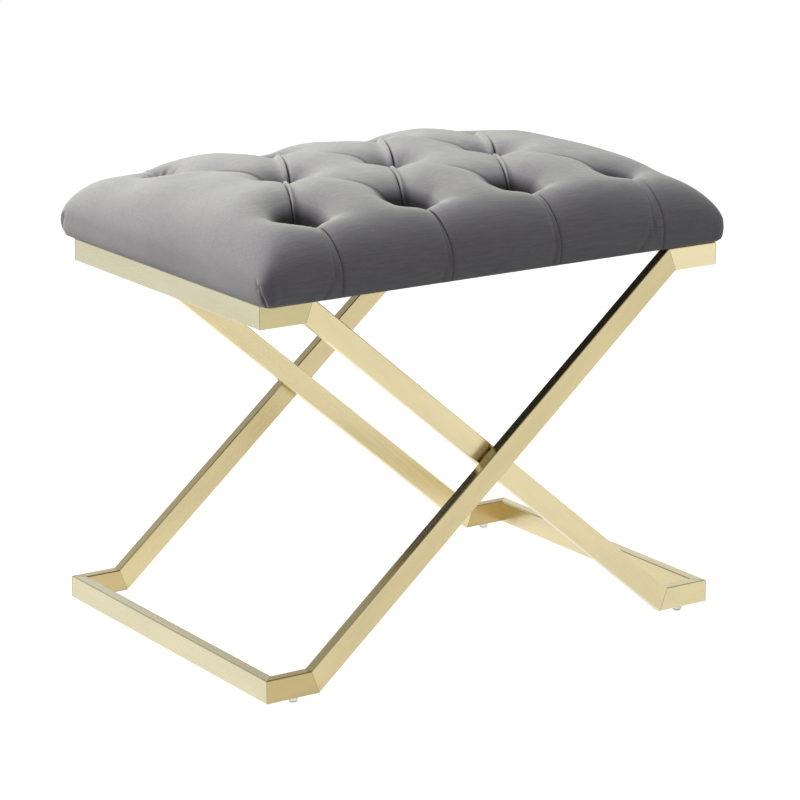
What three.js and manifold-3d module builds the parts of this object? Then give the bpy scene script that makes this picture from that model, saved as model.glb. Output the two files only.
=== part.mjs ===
// Vanity stool with a crossed frame of rectangular tube and a deep tufted velvet seat.
// Millimetres. X runs along the seat's length, Y from the front edge to the back, Z up.
// The origin is on the floor, at the middle of the stool's footprint.
import * as THREE from 'three';
import { mergeVertices } from 'three/addons/utils/BufferGeometryUtils.js';
import Module from 'manifold-3d';

const wasm = await Module();
wasm.setup();

// Frame: two closed loops of tube, each with a top rail at one end and a bottom rail at the other
const railTopHeight = 414;
const footHeight = 5;
const topLength = 557;
const bottomLength = 573;
const outerLoopDepth = 420;
const stubLength = 58;
const tubeFace = 25;
const tubeDepth = 13;
const tubeWall = 1.2;
const tubeCornerRadius = 1.5;
const loopGap = 3;
const spacerDiameter = 20;

// Feet: clear domed bumpers under the bottom stubs
const footDiameter = 10.6;
const footTipDiameter = 6.4;
const footInset = 34.5;

// Seat board and the cloth that closes its underside
const boardInset = 1.8;
const boardThickness = 12;
const boardCornerRadius = 7;
const dustCoverThickness = 0.8;
const dustCoverMargin = 8;
const hemThickness = 2;
const hemWidth = 20;
const coverEdgeThickness = 3;

// Upholstery outline: widest low on the wall, drawn in at the base
const seatBulge = 6.4;
const bulgeHeight = 12;
const endShoulder = 55;
const sideShoulder = 50;
const crownHeight = 91.5;
const endFall = 24.5;
const sideFall = 25;
const paddingThickness = 6;
const foamEdgeHeight = 8;

// Tufts: rows of four, three and four, set as diamonds
const tuftPitch = 132;
const tuftRowSpacing = 146;
const pitDepth = 30;
const pitNeck = 8;
const funnelDepth = 12;
const funnelRadius = 28;
const funnelLean = 10;
const valleyDepth = 9;
const valleyWidth = 16;
const pleatDepth = 8;
const pleatWidth = 14;

// Tuft ties: twine with a knot above the velvet and a washer under the board
const twineDiameter = 1.8;
const knotDiameter = 3.2;
const tieWasherDiameter = 12;
const tieWasherThickness = 1.2;

// Seat fixings: a welded tab, a flanged bolt and a tee nut at each corner of the board
const tabWidth = 30;
const tabReach = 22;
const tabThickness = 3;
const tabSpacing = 220;
const boltDiameter = 6;
const boltLength = 16;
const boltHeadDiameter = 10;
const boltHeadHeight = 4;
const boltFlangeDiameter = 14;
const boltFlangeHeight = 1.2;
const teeNutWall = 1.1;
const teeNutBarrelLength = 9;
const teeNutFlangeDiameter = 17;
const teeNutFlangeThickness = 1.5;

// Fits between neighbouring pieces, and the overrun of every cut
const clearance = 0.3;
const overrun = 5;

// Shape shares and counts
const endFallPower = 4;
const sideFallPower = 3;
const fallJoinPower = 1.4;
const shoulderPower = 2.7;
const cornerTopPower = 2.6;
const cornerPower = 10;
const creasePower = 4;
const ringChordShare = 0.8;
const cornerSegments = 3;
const roundSegments = 16;
const fastenerSegments = 12;
const knotSegments = 8;
const twineSegments = 4;
const hexSides = 6;
const outerArcSteps = 3;
const foamArcSteps = 1;
const columnsPerPitch = 8;
const rowsPerSpacing = 4;
const foamColumnsPerPitch = 4;
const foamRowsPerSpacing = 3;

// Surfaces
const goldMetal = () => new THREE.MeshStandardMaterial({ color: 0xd8cba0, roughness: 0.34, metalness: 1 });
const greyVelvet = () => new THREE.MeshStandardMaterial({ color: 0x86858a, roughness: 0.9, metalness: 0 });
const creamFoam = () => new THREE.MeshStandardMaterial({ color: 0xe9dfc0, roughness: 1, metalness: 0 });
const paleWood = () => new THREE.MeshStandardMaterial({ color: 0xc9a878, roughness: 0.7, metalness: 0 });
const blackCloth = () => new THREE.MeshStandardMaterial({ color: 0x1d1d1f, roughness: 0.95, metalness: 0 });
const greyTwine = () => new THREE.MeshStandardMaterial({ color: 0x6f6e73, roughness: 0.9, metalness: 0 });
const zincSteel = () => new THREE.MeshStandardMaterial({ color: 0xb9bcc0, roughness: 0.4, metalness: 1 });
const clearPlastic = () => new THREE.MeshStandardMaterial({ color: 0xd9dcda, roughness: 0.25, metalness: 0 });

const stool = new THREE.Group();

function addPiece(name, geometry, material) {
  const mesh = new THREE.Mesh(geometry, material);
  mesh.name = name;
  stool.add(mesh);
  return mesh;
}

// Closed solids for cutting and joining
function solidFrom(geometry) {
  const bare = geometry.index ? geometry.toNonIndexed() : geometry.clone();
  bare.deleteAttribute('normal');
  bare.deleteAttribute('uv');
  const merged = mergeVertices(bare);
  const mesh = new wasm.Mesh({
    numProp: 3,
    vertProperties: new Float32Array(merged.attributes.position.array),
    triVerts: new Uint32Array(merged.index.array),
  });
  return new wasm.Manifold(mesh);
}

function geometryFrom(solid) {
  const mesh = solid.getMesh();
  const geometry = new THREE.BufferGeometry();
  geometry.setAttribute('position', new THREE.BufferAttribute(new Float32Array(mesh.vertProperties), 3));
  geometry.setIndex(new THREE.BufferAttribute(new Uint32Array(mesh.triVerts), 1));
  return geometry;
}

// A round bar on a vertical axis, from one height to another
function uprightBar(x, y, low, high, diameter, segments) {
  const bar = new THREE.CylinderGeometry(diameter / 2, diameter / 2, high - low, segments);
  bar.rotateX(Math.PI / 2);
  bar.translate(x, y, (low + high) / 2);
  return solidFrom(bar);
}

// A rectangle with rounded corners, centred on the origin
function roundedRectangle(width, height, radius) {
  const shape = new THREE.Shape();
  const x = width / 2 - radius;
  const y = height / 2 - radius;
  shape.absarc(x, -y, radius, -Math.PI / 2, 0, false);
  shape.absarc(x, y, radius, 0, Math.PI / 2, false);
  shape.absarc(-x, y, radius, Math.PI / 2, Math.PI, false);
  shape.absarc(-x, -y, radius, Math.PI, Math.PI * 1.5, false);
  shape.closePath();
  return shape;
}

// Frame tubes

// The tube's section: X is across the stool's side, Y is the face that shows
function tubeSection() {
  const section = roundedRectangle(tubeDepth, tubeFace, tubeCornerRadius);
  const bore = new THREE.Path();
  const x = tubeDepth / 2 - tubeWall;
  const y = tubeFace / 2 - tubeWall;
  bore.moveTo(-x, -y);
  bore.lineTo(x, -y);
  bore.lineTo(x, y);
  bore.lineTo(-x, y);
  bore.closePath();
  section.holes.push(bore);
  return section;
}

// A straight tube between two corners of a loop, each end cut on its mitre plane
function mitredTube(start, finish, across) {
  const along = finish.point.clone().sub(start.point).normalize();
  const facing = along.clone().cross(across);
  const tube = new THREE.ExtrudeGeometry(tubeSection(), {
    depth: 1,
    bevelEnabled: false,
    curveSegments: cornerSegments,
  });
  const place = tube.attributes.position;
  for (let i = 0; i < place.count; i += 1) {
    const corner = place.getZ(i) > 0 ? finish : start;
    const offset = across.clone().multiplyScalar(place.getX(i)).addScaledVector(facing, place.getY(i));
    const slide = -offset.dot(corner.normal) / along.dot(corner.normal);
    const point = corner.point.clone().add(offset).addScaledVector(along, slide);
    place.setXYZ(i, point.x, point.y, point.z);
  }
  return tube;
}

// The centre line of one loop, corner by corner, with the mitre plane at each corner
function loopCorners(side, depth) {
  const y = depth / 2 - tubeDepth / 2;
  const topZ = railTopHeight - tubeFace / 2;
  const bottomZ = footHeight + tubeFace / 2;
  const topRailX = side * (topLength / 2 - tubeDepth / 2);
  const topBendX = side * (topLength / 2 - stubLength);
  const bottomBendX = -side * (bottomLength / 2 - stubLength);
  const bottomRailX = -side * (bottomLength / 2 - tubeDepth / 2);
  const half = [[topRailX, topZ], [topBendX, topZ], [bottomBendX, bottomZ], [bottomRailX, bottomZ]];
  const front = half.map(([x, z]) => new THREE.Vector3(x, -y, z));
  const back = half.map(([x, z]) => new THREE.Vector3(x, y, z)).reverse();
  const points = [...front, ...back];
  return points.map((point, i) => {
    const before = points[(i + points.length - 1) % points.length];
    const after = points[(i + 1) % points.length];
    const incoming = point.clone().sub(before).normalize();
    const outgoing = after.clone().sub(point).normalize();
    return { point, normal: incoming.add(outgoing).normalize() };
  });
}

const tubeNames = [
  'top_stub_front', 'leg_front', 'bottom_stub_front', 'bottom_rail',
  'bottom_stub_back', 'leg_back', 'top_stub_back', 'top_rail',
];

function addLoop(name, side, depth) {
  const corners = loopCorners(side, depth);
  corners.forEach((corner, i) => {
    const next = corners[(i + 1) % corners.length];
    const alongDepth = Math.abs(next.point.y - corner.point.y) > 0;
    const across = alongDepth ? new THREE.Vector3(1, 0, 0) : new THREE.Vector3(0, 1, 0);
    addPiece(`${name}_${tubeNames[i]}`, mitredTube(corner, next, across), goldMetal());
  });
}

const innerLoopDepth = outerLoopDepth - 2 * (tubeDepth + loopGap);
addLoop('inner_frame', -1, innerLoopDepth);
addLoop('outer_frame', 1, outerLoopDepth);

// Spacers welded between the legs where they cross
function addSpacers() {
  const topBendX = topLength / 2 - stubLength;
  const bottomBendX = bottomLength / 2 - stubLength;
  const topZ = railTopHeight - tubeFace / 2;
  const bottomZ = footHeight + tubeFace / 2;
  const crossingZ = topZ - ((topZ - bottomZ) * topBendX) / (topBendX + bottomBendX);
  const crossingY = innerLoopDepth / 2 + loopGap / 2;
  for (const [name, side] of [['crossing_spacer_front', -1], ['crossing_spacer_back', 1]]) {
    const disc = new THREE.CylinderGeometry(spacerDiameter / 2, spacerDiameter / 2, loopGap, roundSegments);
    disc.translate(0, side * crossingY, 0);
    disc.translate(0, 0, crossingZ);
    addPiece(name, disc, goldMetal());
  }
}

addSpacers();

// Feet
function footProfile() {
  const top = footDiameter / 2;
  const tip = footTipDiameter / 2;
  const sweep = new THREE.EllipseCurve(tip, footHeight, top - tip, footHeight, -Math.PI / 2, 0, false);
  return [new THREE.Vector2(0, 0), ...sweep.getPoints(cornerSegments), new THREE.Vector2(0, footHeight)];
}

function addFeet() {
  const x = bottomLength / 2 - footInset;
  const outerY = outerLoopDepth / 2 - tubeDepth / 2;
  const innerY = innerLoopDepth / 2 - tubeDepth / 2;
  const places = [
    ['foot_left_front', -x, -outerY], ['foot_left_back', -x, outerY],
    ['foot_right_front', x, -innerY], ['foot_right_back', x, innerY],
  ];
  for (const [name, footX, footY] of places) {
    const foot = new THREE.LatheGeometry(footProfile(), roundSegments);
    foot.rotateX(Math.PI / 2);
    foot.translate(footX, footY, 0);
    addPiece(name, foot, clearPlastic());
  }
}

addFeet();

// Seat heights, from the rails up
const seatBase = railTopHeight;
const hemBottom = seatBase + dustCoverThickness;
const boardBottom = hemBottom + hemThickness;
const boardTop = boardBottom + boardThickness;
const boardLength = topLength - 2 * boardInset;
const boardDepth = outerLoopDepth - 2 * boardInset;
const coverInnerLength = boardLength + 2 * clearance;
const coverInnerDepth = boardDepth + 2 * clearance;
const seatBaseLength = coverInnerLength + 2 * coverEdgeThickness;
const seatBaseDepth = coverInnerDepth + 2 * coverEdgeThickness;
const seatLength = seatBaseLength + 2 * seatBulge;
const seatDepth = seatBaseDepth + 2 * seatBulge;

// Tufts: name and place of each pit
function tuftPlaces() {
  const rows = [['front', -1, 4], ['mid', 0, 3], ['back', 1, 4]];
  return rows.flatMap(([row, side, count]) => Array.from({ length: count }, (_, i) => ({
    name: `${row}_${i + 1}`,
    row,
    side,
    x: (i - (count - 1) / 2) * tuftPitch,
    y: side * tuftRowSpacing,
  })));
}

const tufts = tuftPlaces();

// Folds run between neighbouring tufts of two rows, and from the outer rows down over the edges
function foldLines() {
  const middle = tufts.filter((tuft) => tuft.row === 'mid');
  const outer = tufts.filter((tuft) => tuft.row !== 'mid');
  const diagonals = outer.flatMap((from) => middle
    .filter((to) => Math.abs(Math.abs(from.x - to.x) * 2 - tuftPitch) < clearance)
    .map((to) => ({ from, to, depth: valleyDepth, width: valleyWidth })));
  const pleats = outer.map((from) => ({
    from,
    to: { x: from.x, y: Math.sign(from.y) * (seatDepth / 2) },
    depth: pleatDepth,
    width: pleatWidth,
  }));
  return [...diagonals, ...pleats];
}

const folds = foldLines();

function distanceToFold(x, y, fold) {
  const dx = fold.to.x - fold.from.x;
  const dy = fold.to.y - fold.from.y;
  const share = ((x - fold.from.x) * dx + (y - fold.from.y) * dy) / (dx * dx + dy * dy);
  const held = Math.min(1, Math.max(0, share));
  return Math.hypot(x - fold.from.x - held * dx, y - fold.from.y - held * dy);
}

// A narrow neck at each tuft, in a wide funnel that leans towards the middle of the seat
function pitHollow(x, y) {
  return tufts.reduce((sum, tuft) => {
    const away = Math.hypot(x - tuft.x, y - tuft.y);
    const wide = Math.hypot(x - tuft.x, y - tuft.y + tuft.side * funnelLean);
    const neck = pitDepth * Math.exp(-away / pitNeck);
    const funnel = funnelDepth * Math.exp(-((wide / funnelRadius) ** 2));
    return sum + neck + funnel;
  }, 0);
}

function foldHollow(x, y) {
  const sum = folds.reduce((total, fold) => {
    const hollow = fold.depth * Math.exp(-distanceToFold(x, y, fold) / fold.width);
    return total + hollow ** creasePower;
  }, 0);
  return sum ** (1 / creasePower);
}

// The crowned top before tufting, above the seat's base
function crownAt(x, y, length, depth) {
  const ends = endFall * (Math.abs(x) / (length / 2)) ** endFallPower;
  const sides = sideFall * (Math.abs(y) / (depth / 2)) ** sideFallPower;
  return crownHeight - (ends ** fallJoinPower + sides ** fallJoinPower) ** (1 / fallJoinPower);
}

// Moves a point of the plain plan rectangle on to the plan with rounded corners,
// which are rounder at the top of the shoulders than at the outline.
// The edge value runs from 0, inside the shoulders, to 1 at the outline.
// Growth widens the shoulders alone, so that a lining follows what it encloses.
function planPoint(x, y, length, depth, growth) {
  const coreX = length / 2 - endShoulder;
  const coreY = depth / 2 - sideShoulder;
  const reachX = Math.max(0, Math.abs(x) - coreX) / endShoulder;
  const reachY = Math.max(0, Math.abs(y) - coreY) / sideShoulder;
  const edge = Math.min(1, Math.max(reachX, reachY));
  const power = cornerTopPower + (cornerPower - cornerTopPower) * edge * edge;
  const round = edge > 0 ? edge / (reachX ** power + reachY ** power) ** (1 / power) : 1;
  return {
    x: Math.sign(x) * (Math.min(Math.abs(x), coreX) + (endShoulder + growth) * reachX * round),
    y: Math.sign(y) * (Math.min(Math.abs(y), coreY) + (sideShoulder + growth) * reachY * round),
    edge,
  };
}

function shoulderLoft(edge) {
  return Math.sqrt(Math.max(0, 1 - edge ** shoulderPower));
}

// Positions of the grid lines on one side of the middle: even steps, then the shoulder's arc
function gridLines(places, half, shoulder, arcSteps) {
  const arc = Array.from({ length: arcSteps }, (_, i) => {
    const angle = ((i + 1) / arcSteps) * (Math.PI / 2);
    return half - shoulder + shoulder * Math.sin(angle);
  });
  const positive = [...places, half - shoulder, ...arc];
  return [...positive.map((place) => -place).reverse(), 0, ...positive];
}

// A closed pillow: a grid of top points, walls hung from its outline, and a flat base.
// Rows of the wall give height and the share of the outline's half sizes that is kept.
function pillow(xs, ys, topPoint, wallRows, pits) {
  const points = [];
  const faces = [];
  const columns = xs.length;
  const rows = ys.length;
  for (const y of ys) {
    for (const x of xs) {
      points.push(topPoint(x, y));
    }
  }
  const at = (column, row) => row * columns + column;
  const middleX = (columns - 1) / 2;
  const middleY = (rows - 1) / 2;
  for (let row = 0; row < rows - 1; row += 1) {
    for (let column = 0; column < columns - 1; column += 1) {
      const a = at(column, row);
      const b = at(column + 1, row);
      const c = at(column + 1, row + 1);
      const d = at(column, row + 1);
      const outward = column < middleX === row < middleY;
      const rising = diagonalRises(xs[column], xs[column + 1], ys[row], ys[row + 1], outward);
      const halves = rising ? [[a, b, c], [a, c, d]] : [[a, b, d], [b, c, d]];
      faces.push(...halves);
    }
  }
  const top = pits.reduce((rest, pit) => ringAroundPit(points, rest, pit, topPoint), faces);
  const walls = [];
  const outline = [];
  for (let column = 0; column < columns - 1; column += 1) outline.push(at(column, 0));
  for (let row = 0; row < rows - 1; row += 1) outline.push(at(columns - 1, row));
  for (let column = columns - 1; column > 0; column -= 1) outline.push(at(column, rows - 1));
  for (let row = rows - 1; row > 0; row -= 1) outline.push(at(0, row));
  let upper = outline;
  for (const { z, keepX, keepY } of wallRows) {
    const lower = upper.map((_, i) => points.length + i);
    for (const index of outline) {
      const [x, y] = points[index];
      points.push([x * keepX, y * keepY, z]);
    }
    upper.forEach((_, i) => {
      const j = (i + 1) % upper.length;
      walls.push([upper[i], lower[i], lower[j]], [upper[i], lower[j], upper[j]]);
    });
    upper = lower;
  }
  const baseCentre = points.length;
  points.push([0, 0, wallRows[wallRows.length - 1].z]);
  upper.forEach((_, i) => {
    const j = (i + 1) % upper.length;
    walls.push([baseCentre, upper[j], upper[i]]);
  });
  const geometry = new THREE.BufferGeometry();
  geometry.setAttribute('position', new THREE.BufferAttribute(new Float32Array(points.flat()), 3));
  geometry.setIndex([...top, ...walls].flat());
  return geometry;
}

// Splits the faces that meet at a pit, with a ring of points where its neck opens
function ringAroundPit(points, faces, pit, topPoint) {
  const centre = points.findIndex(([x, y]) => Math.hypot(x - pit.x, y - pit.y) < clearance);
  const ring = new Map();
  const ringPoint = (corner) => {
    if (!ring.has(corner)) {
      const [x, y] = points[corner];
      const share = pitNeck / Math.hypot(x - pit.x, y - pit.y);
      points.push(topPoint(pit.x + (x - pit.x) * share, pit.y + (y - pit.y) * share));
      ring.set(corner, points.length - 1);
    }
    return ring.get(corner);
  };
  return faces.flatMap((face) => {
    const turn = face.indexOf(centre);
    if (turn < 0) return [face];
    const a = face[(turn + 1) % 3];
    const b = face[(turn + 2) % 3];
    const nearA = ringPoint(a);
    const nearB = ringPoint(b);
    return [[centre, nearA, nearB], [nearA, a, b], [nearA, b, nearB]];
  });
}

// Each quad of the top is split along the fold that crosses it, and elsewhere away from the middle
function diagonalRises(x0, x1, y0, y1, outward) {
  const x = (x0 + x1) / 2;
  const y = (y0 + y1) / 2;
  const near = folds
    .filter((fold) => Math.abs(fold.to.x - fold.from.x) > 0)
    .map((fold) => ({ fold, away: distanceToFold(x, y, fold) }))
    .sort((one, other) => one.away - other.away)[0];
  const reach = Math.hypot(x1 - x0, y1 - y0) / 2;
  if (near && near.away < reach) {
    return (near.fold.to.x - near.fold.from.x) * (near.fold.to.y - near.fold.from.y) > 0;
  }
  return outward;
}

// Outside of the upholstery
const tuftReachPitches = 1.5;

// Even steps from the middle out to the last tuft
function tuftSteps(count, reach) {
  return Array.from({ length: count }, (_, i) => ((i + 1) / count) * reach);
}

function outerPillow() {
  const tuftReach = tuftReachPitches * tuftPitch;
  const xPlaces = tuftSteps(tuftReachPitches * columnsPerPitch, tuftReach);
  const yPlaces = tuftSteps(rowsPerSpacing, tuftRowSpacing);
  const xs = gridLines(xPlaces, seatLength / 2, endShoulder, outerArcSteps);
  const ys = gridLines(yPlaces, seatDepth / 2, sideShoulder, outerArcSteps);
  const topPoint = (x, y) => {
    const place = planPoint(x, y, seatLength, seatDepth, 0);
    const hollow = pitHollow(place.x, place.y) + foldHollow(place.x, place.y);
    const full = crownAt(place.x, place.y, seatLength, seatDepth) - hollow;
    return [place.x, place.y, seatBase + bulgeHeight + (full - bulgeHeight) * shoulderLoft(place.edge)];
  };
  const wallRows = [
    { z: hemBottom, keepX: seatBaseLength / seatLength, keepY: seatBaseDepth / seatDepth },
  ];
  return pillow(xs, ys, topPoint, wallRows, tufts);
}

// Outside of the foam block, lower than the upholstery by the padding and the depth of its folds
function foamPillow(growth, bottom) {
  const xPlaces = tuftSteps(tuftReachPitches * foamColumnsPerPitch, tuftReachPitches * tuftPitch);
  const yPlaces = tuftSteps(foamRowsPerSpacing, tuftRowSpacing);
  const xs = gridLines(xPlaces, boardLength / 2, endShoulder, foamArcSteps);
  const ys = gridLines(yPlaces, boardDepth / 2, sideShoulder, foamArcSteps);
  const drop = paddingThickness + valleyDepth;
  const foamWall = boardTop - seatBase + foamEdgeHeight;
  const topPoint = (x, y) => {
    const place = planPoint(x, y, boardLength, boardDepth, growth);
    const full = crownAt(x, y, boardLength, boardDepth) - pitHollow(x, y) - drop;
    return [place.x, place.y, seatBase + foamWall + growth + (full - foamWall) * shoulderLoft(place.edge)];
  };
  return pillow(xs, ys, topPoint, [{ z: bottom, keepX: 1, keepY: 1 }], []);
}

function pitBottom(tuft) {
  const full = crownAt(tuft.x, tuft.y, seatLength, seatDepth) - pitHollow(tuft.x, tuft.y);
  return seatBase + full - foldHollow(tuft.x, tuft.y);
}

// Seat fixing places
function fixingPlaces() {
  const x = topLength / 2 - tubeDepth - tabReach / 2;
  const places = [];
  for (const [end, sideX] of [['left', -1], ['right', 1]]) {
    for (const [edge, sideY] of [['front', -1], ['back', 1]]) {
      places.push({ name: `${end}_${edge}`, x: sideX * x, y: (sideY * tabSpacing) / 2 });
    }
  }
  return places;
}

const fixings = fixingPlaces();
const boltHoleDiameter = boltDiameter + 2 * clearance;
const teeNutBarrelDiameter = boltHoleDiameter + 2 * teeNutWall;
const twineHoleDiameter = (twineDiameter + 2 * clearance) / Math.cos(Math.PI / twineSegments);

function cutTieHoles(solid, low, high) {
  return tufts.reduce((rest, tuft) => rest.subtract(
    uprightBar(tuft.x, tuft.y, low, high, twineHoleDiameter, twineSegments),
  ), solid);
}

function cutFixingHoles(solid, low, high, diameter) {
  return fixings.reduce((rest, fixing) => rest.subtract(
    uprightBar(fixing.x, fixing.y, low, high, diameter, fastenerSegments),
  ), solid);
}

function plate(length, depth, radius, low, high) {
  const slab = new THREE.ExtrudeGeometry(roundedRectangle(length, depth, radius), {
    depth: high - low,
    bevelEnabled: false,
    curveSegments: cornerSegments,
  });
  slab.translate(0, 0, low);
  return slab;
}

const seatTopLimit = seatBase + crownHeight + overrun;

function addSeatCover() {
  const boardSpace = plate(
    coverInnerLength, coverInnerDepth, boardCornerRadius + clearance, boardBottom, boardTop + clearance,
  );
  const space = solidFrom(foamPillow(clearance, boardTop)).add(solidFrom(boardSpace));
  const openingLength = seatBaseLength - 2 * hemWidth;
  const openingDepth = seatBaseDepth - 2 * hemWidth;
  const opening = solidFrom(plate(
    openingLength, openingDepth, boardCornerRadius, hemBottom - overrun, boardBottom + overrun,
  ));
  let cover = solidFrom(outerPillow()).subtract(space).subtract(opening);
  cover = cutTieHoles(cover, boardTop, seatTopLimit);
  addPiece('seat_cover', geometryFrom(cover), greyVelvet());
}

function addFoam() {
  let foam = solidFrom(foamPillow(0, boardTop));
  foam = cutTieHoles(foam, boardTop - overrun, seatTopLimit);
  const recessDiameter = teeNutFlangeDiameter + 2 * clearance;
  const recessTop = boardTop + teeNutFlangeThickness + clearance;
  foam = cutFixingHoles(foam, boardTop - overrun, recessTop, recessDiameter);
  addPiece('seat_foam', geometryFrom(foam), creamFoam());
}

function addBoard() {
  let board = solidFrom(plate(boardLength, boardDepth, boardCornerRadius, boardBottom, boardTop));
  board = cutTieHoles(board, boardBottom - overrun, boardTop + overrun);
  const holeDiameter = teeNutBarrelDiameter + 2 * clearance;
  board = cutFixingHoles(board, boardBottom - overrun, boardTop + overrun, holeDiameter);
  addPiece('seat_board', geometryFrom(board), paleWood());
}

function addDustCover() {
  const length = seatBaseLength - 2 * dustCoverMargin;
  const depth = seatBaseDepth - 2 * dustCoverMargin;
  const sheet = solidFrom(plate(length, depth, boardCornerRadius, seatBase, hemBottom));
  const cut = cutFixingHoles(sheet, seatBase - overrun, hemBottom + overrun, boltHoleDiameter);
  addPiece('dust_cover', geometryFrom(cut), blackCloth());
}

addSeatCover();
addFoam();
addBoard();
addDustCover();

// Tuft ties

// The steepest wall that the knot meets at the bottom of its pit
function pitSlope(tuft) {
  const bottom = pitBottom(tuft);
  const directions = Array.from({ length: knotSegments }, (_, i) => (i / knotSegments) * Math.PI * 2);
  const slopes = directions.map((angle) => {
    const x = tuft.x + pitNeck * Math.cos(angle);
    const y = tuft.y + pitNeck * Math.sin(angle);
    const full = crownAt(x, y, seatLength, seatDepth) - pitHollow(x, y) - foldHollow(x, y);
    return (seatBase + full - bottom) / (pitNeck * ringChordShare);
  });
  return Math.max(...slopes);
}

function addTie(tuft) {
  const knotRadius = knotDiameter / 2;
  const twineRadius = twineDiameter / 2;
  const lift = (knotRadius + clearance) * Math.hypot(1, pitSlope(tuft));
  const knotZ = pitBottom(tuft) + lift;
  const washerTop = boardBottom;
  const washerBottom = boardBottom - tieWasherThickness;
  const neck = Math.asin(twineRadius / knotRadius);
  const knot = new THREE.EllipseCurve(
    0, knotZ, knotRadius, knotRadius, neck - Math.PI / 2, Math.PI / 2, false,
  );
  const profile = [
    new THREE.Vector2(0, washerBottom),
    new THREE.Vector2(tieWasherDiameter / 2, washerBottom),
    new THREE.Vector2(tieWasherDiameter / 2, washerTop),
    new THREE.Vector2(twineRadius, washerTop),
    ...knot.getPoints(cornerSegments).slice(0, -1),
    new THREE.Vector2(0, knotZ + knotRadius),
  ];
  const tie = new THREE.LatheGeometry(profile, knotSegments);
  tie.rotateX(Math.PI / 2);
  tie.translate(tuft.x, tuft.y, 0);
  addPiece(`tuft_tie_${tuft.name}`, tie, greyTwine());
}

tufts.forEach(addTie);

// Seat fixings
function addTab(fixing) {
  const bottom = seatBase - tabThickness;
  const blank = plate(tabReach, tabWidth, tubeCornerRadius, bottom, seatBase);
  blank.translate(fixing.x, fixing.y, 0);
  const hole = uprightBar(
    fixing.x, fixing.y, bottom - overrun, seatBase + overrun, boltHoleDiameter, fastenerSegments,
  );
  addPiece(`seat_tab_${fixing.name}`, geometryFrom(solidFrom(blank).subtract(hole)), goldMetal());
}

function addBolt(fixing) {
  const seat = seatBase - tabThickness;
  const flangeBottom = seat - boltFlangeHeight;
  const headBottom = flangeBottom - boltHeadHeight;
  const flange = uprightBar(fixing.x, fixing.y, flangeBottom, seat, boltFlangeDiameter, fastenerSegments);
  const headTop = seat - boltFlangeHeight / 2;
  const shankTop = seat + boltLength;
  const head = uprightBar(fixing.x, fixing.y, headBottom, headTop, boltHeadDiameter, hexSides);
  const shank = uprightBar(fixing.x, fixing.y, flangeBottom, shankTop, boltDiameter, fastenerSegments);
  addPiece(`seat_bolt_${fixing.name}`, geometryFrom(flange.add(head).add(shank)), zincSteel());
}

function addTeeNut(fixing) {
  const bore = boltHoleDiameter / 2;
  const barrel = teeNutBarrelDiameter / 2;
  const flange = teeNutFlangeDiameter / 2;
  const top = boardTop + teeNutFlangeThickness;
  const profile = [
    new THREE.Vector2(bore, boardTop - teeNutBarrelLength),
    new THREE.Vector2(barrel, boardTop - teeNutBarrelLength),
    new THREE.Vector2(barrel, boardTop),
    new THREE.Vector2(flange, boardTop),
    new THREE.Vector2(flange, top),
    new THREE.Vector2(bore, top),
    new THREE.Vector2(bore, boardTop - teeNutBarrelLength),
  ];
  const nut = new THREE.LatheGeometry(profile, fastenerSegments);
  nut.rotateX(Math.PI / 2);
  nut.translate(fixing.x, fixing.y, 0);
  addPiece(`tee_nut_${fixing.name}`, nut, zincSteel());
}

for (const fixing of fixings) {
  addTab(fixing);
  addBolt(fixing);
  addTeeNut(fixing);
}

export default stool;
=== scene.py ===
import math

import bpy
import numpy as np
from mathutils import Matrix, Vector


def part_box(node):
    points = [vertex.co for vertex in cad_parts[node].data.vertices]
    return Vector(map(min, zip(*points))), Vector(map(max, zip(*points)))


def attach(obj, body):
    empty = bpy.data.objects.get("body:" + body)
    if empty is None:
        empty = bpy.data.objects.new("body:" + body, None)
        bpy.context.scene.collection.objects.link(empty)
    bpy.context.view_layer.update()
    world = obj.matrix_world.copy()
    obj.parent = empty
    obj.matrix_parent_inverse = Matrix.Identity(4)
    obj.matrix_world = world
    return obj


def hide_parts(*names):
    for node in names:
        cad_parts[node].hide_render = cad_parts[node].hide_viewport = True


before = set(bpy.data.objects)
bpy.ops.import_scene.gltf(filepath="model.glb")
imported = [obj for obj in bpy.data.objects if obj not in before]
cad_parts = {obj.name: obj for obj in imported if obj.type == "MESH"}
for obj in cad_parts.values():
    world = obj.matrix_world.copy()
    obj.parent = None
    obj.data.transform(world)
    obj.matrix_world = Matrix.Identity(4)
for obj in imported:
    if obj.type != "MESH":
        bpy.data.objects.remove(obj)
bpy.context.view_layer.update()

# Everything is in metres, in the frame of the CAD model: X along the seat, Y from front to back, Z up.

# Camera, from a least-squares fit to the frame's corners in the photograph
CAMERA_PLACE = (-1.90743, -2.94795, 1.16452)
CAMERA_AZIMUTH = math.radians(33.0708)
CAMERA_ELEVATION = math.radians(14.8325)
CAMERA_ROLL = math.radians(-0.2743)
FOCAL_LENGTH = 150.32
SENSOR_WIDTH = 36.0
VIEW_DEPTH = 100.0

# Studio
WHITE = (1, 1, 1, 1)
BACKGROUND_RAYS = ("Camera", "Glossy", "Transmission")
FLOOR_SIZE = 16.0
FLOOR_COLOUR = 0.33
FLOOR_LIFT = 0.90
BACKDROP_HEIGHT = 4.4
AMBIENT_LEVEL = 0.25
GLOSS_LEVEL = 0.42
LAMPS = {
    "key": {"place": (-1.00, 1.45, 2.35), "size": 1.8, "power": 76.0, "colour": (1.0, 0.995, 0.965)},
    "fill": {"place": (1.0, -1.8, 3.0), "size": 2.0, "power": 11.0, "colour": (0.93, 0.95, 1.0)},
    "side": {"place": (-3.2, 0.9, 0.3), "size": 1.6, "power": 25.0, "colour": (0.98, 0.94, 1.0)},
}

# Values of a noise between which it drives what it is spread over
NOISE_RANGE = (0.3, 0.7)

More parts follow.
